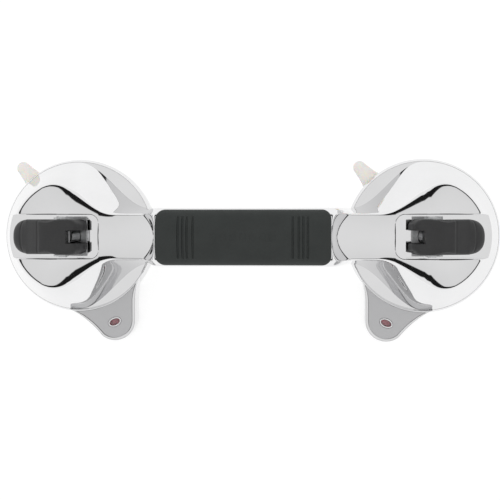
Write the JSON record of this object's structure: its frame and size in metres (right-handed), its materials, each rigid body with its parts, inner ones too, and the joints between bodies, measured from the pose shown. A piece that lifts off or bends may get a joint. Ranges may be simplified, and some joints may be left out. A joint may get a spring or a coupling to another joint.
{
  "type": "suction grab bar",
  "caption": "Chromed bathroom grab bar with a dark soft grip, held to a tiled wall by a rubber suction cup under a cam lever at each end",
  "frame": {"origin": "middle of the box round the part, on the wall plane that the cups' lips lie on", "axes": "+X along the bar from the left cup to the right cup, +Y up the wall and away from the indicator ears, +Z out of the wall"},
  "size_m": [0.305, 0.1112, 0.0648],
  "materials": {
    "chrome": "bright chrome plate on moulded plastic",
    "grip_rubber": "fine matt moulded texture",
    "lever_plastic": "fine spark-eroded texture",
    "cup_rubber": "translucent white, smooth",
    "steel": "turned stainless steel",
    "silver_plate": "satin silver",
    "dark_plastic": "matt",
    "window": "clear moulded lens",
    "flag_red": "satin",
    "flag_green": "satin"
  },
  "bodies": {
    "frame": {"handle_front_shell": "chrome", "handle_back_shell": "chrome", "grip_pad": "grip_rubber", "handle_screw_1": "steel", "handle_screw_2": "steel", "handle_screw_3": "steel", "handle_screw_4": "steel", "left_base_disc": "chrome", "left_ear_face_plate": "silver_plate", "left_ear_back_cover": "dark_plastic", "left_ear_cover_screw": "steel", "left_indicator_bezel": "chrome", "left_indicator_window": "window", "left_indicator_spring": "steel", "left_suction_cup": "cup_rubber", "left_pressure_ring": "dark_plastic", "left_stem_spring": "steel", "left_cam_seat": "steel", "left_base_screw_1": "steel", "left_base_screw_2": "steel", "left_base_screw_3": "steel", "left_base_screw_4": "steel", "right_base_disc": "chrome", "right_ear_face_plate": "silver_plate", "right_ear_back_cover": "dark_plastic", "right_ear_cover_screw": "steel", "right_indicator_bezel": "chrome", "right_indicator_window": "window", "right_indicator_spring": "steel", "right_suction_cup": "cup_rubber", "right_pressure_ring": "dark_plastic", "right_stem_spring": "steel", "right_cam_seat": "steel", "right_base_screw_1": "steel", "right_base_screw_2": "steel", "right_base_screw_3": "steel", "right_base_screw_4": "steel"},
    "left_stem": {"left_cup_stem": "steel", "left_lever_pin": "steel", "left_pin_clip_upper": "steel", "left_pin_clip_lower": "steel"},
    "left_lever": {"left_lever": "lever_plastic"},
    "left_indicator": {"left_indicator_slider": "dark_plastic", "left_red_flag": "flag_red", "left_green_flag": "flag_green"},
    "right_stem": {"right_cup_stem": "steel", "right_lever_pin": "steel", "right_pin_clip_upper": "steel", "right_pin_clip_lower": "steel"},
    "right_lever": {"right_lever": "lever_plastic"},
    "right_indicator": {"right_indicator_slider": "dark_plastic", "right_red_flag": "flag_red", "right_green_flag": "flag_green"}
  },
  "joints": [
    {"name": "left_stem_slide", "type": "slide", "parent": "frame", "child": "left_stem", "axis": [0, 0, -1], "range_m": [0, 0.003], "deforming": ["left_suction_cup", "left_stem_spring"]},
    {"name": "left_lever_hinge", "type": "hinge", "parent": "left_stem", "child": "left_lever", "pos_m": [-0.1055, 0.0086, 0.043], "axis": [0, 1, 0], "range_deg": [0, 90]},
    {"name": "left_indicator_slide", "type": "slide", "parent": "frame", "child": "left_indicator", "axis": [0.3971, -0.9178, 0], "range_m": [0, 0.0038], "stiffness_N_per_m": 60, "deforming": ["left_indicator_spring"]},
    {"name": "right_stem_slide", "type": "slide", "parent": "frame", "child": "right_stem", "axis": [0, 0, -1], "range_m": [0, 0.003], "deforming": ["right_suction_cup", "right_stem_spring"]},
    {"name": "right_lever_hinge", "type": "hinge", "parent": "right_stem", "child": "right_lever", "pos_m": [0.1055, 0.0086, 0.043], "axis": [0, -1, 0], "range_deg": [0, 90]},
    {"name": "right_indicator_slide", "type": "slide", "parent": "frame", "child": "right_indicator", "axis": [-0.3971, -0.9178, 0], "range_m": [0, 0.0038], "stiffness_N_per_m": 60, "deforming": ["right_indicator_spring"]}
  ],
  "couplings": [
    {"joint": "left_lever_hinge", "follows": "left_stem_slide", "rad_per_m": 523.6},
    {"joint": "right_lever_hinge", "follows": "right_stem_slide", "rad_per_m": 523.6}
  ]
}
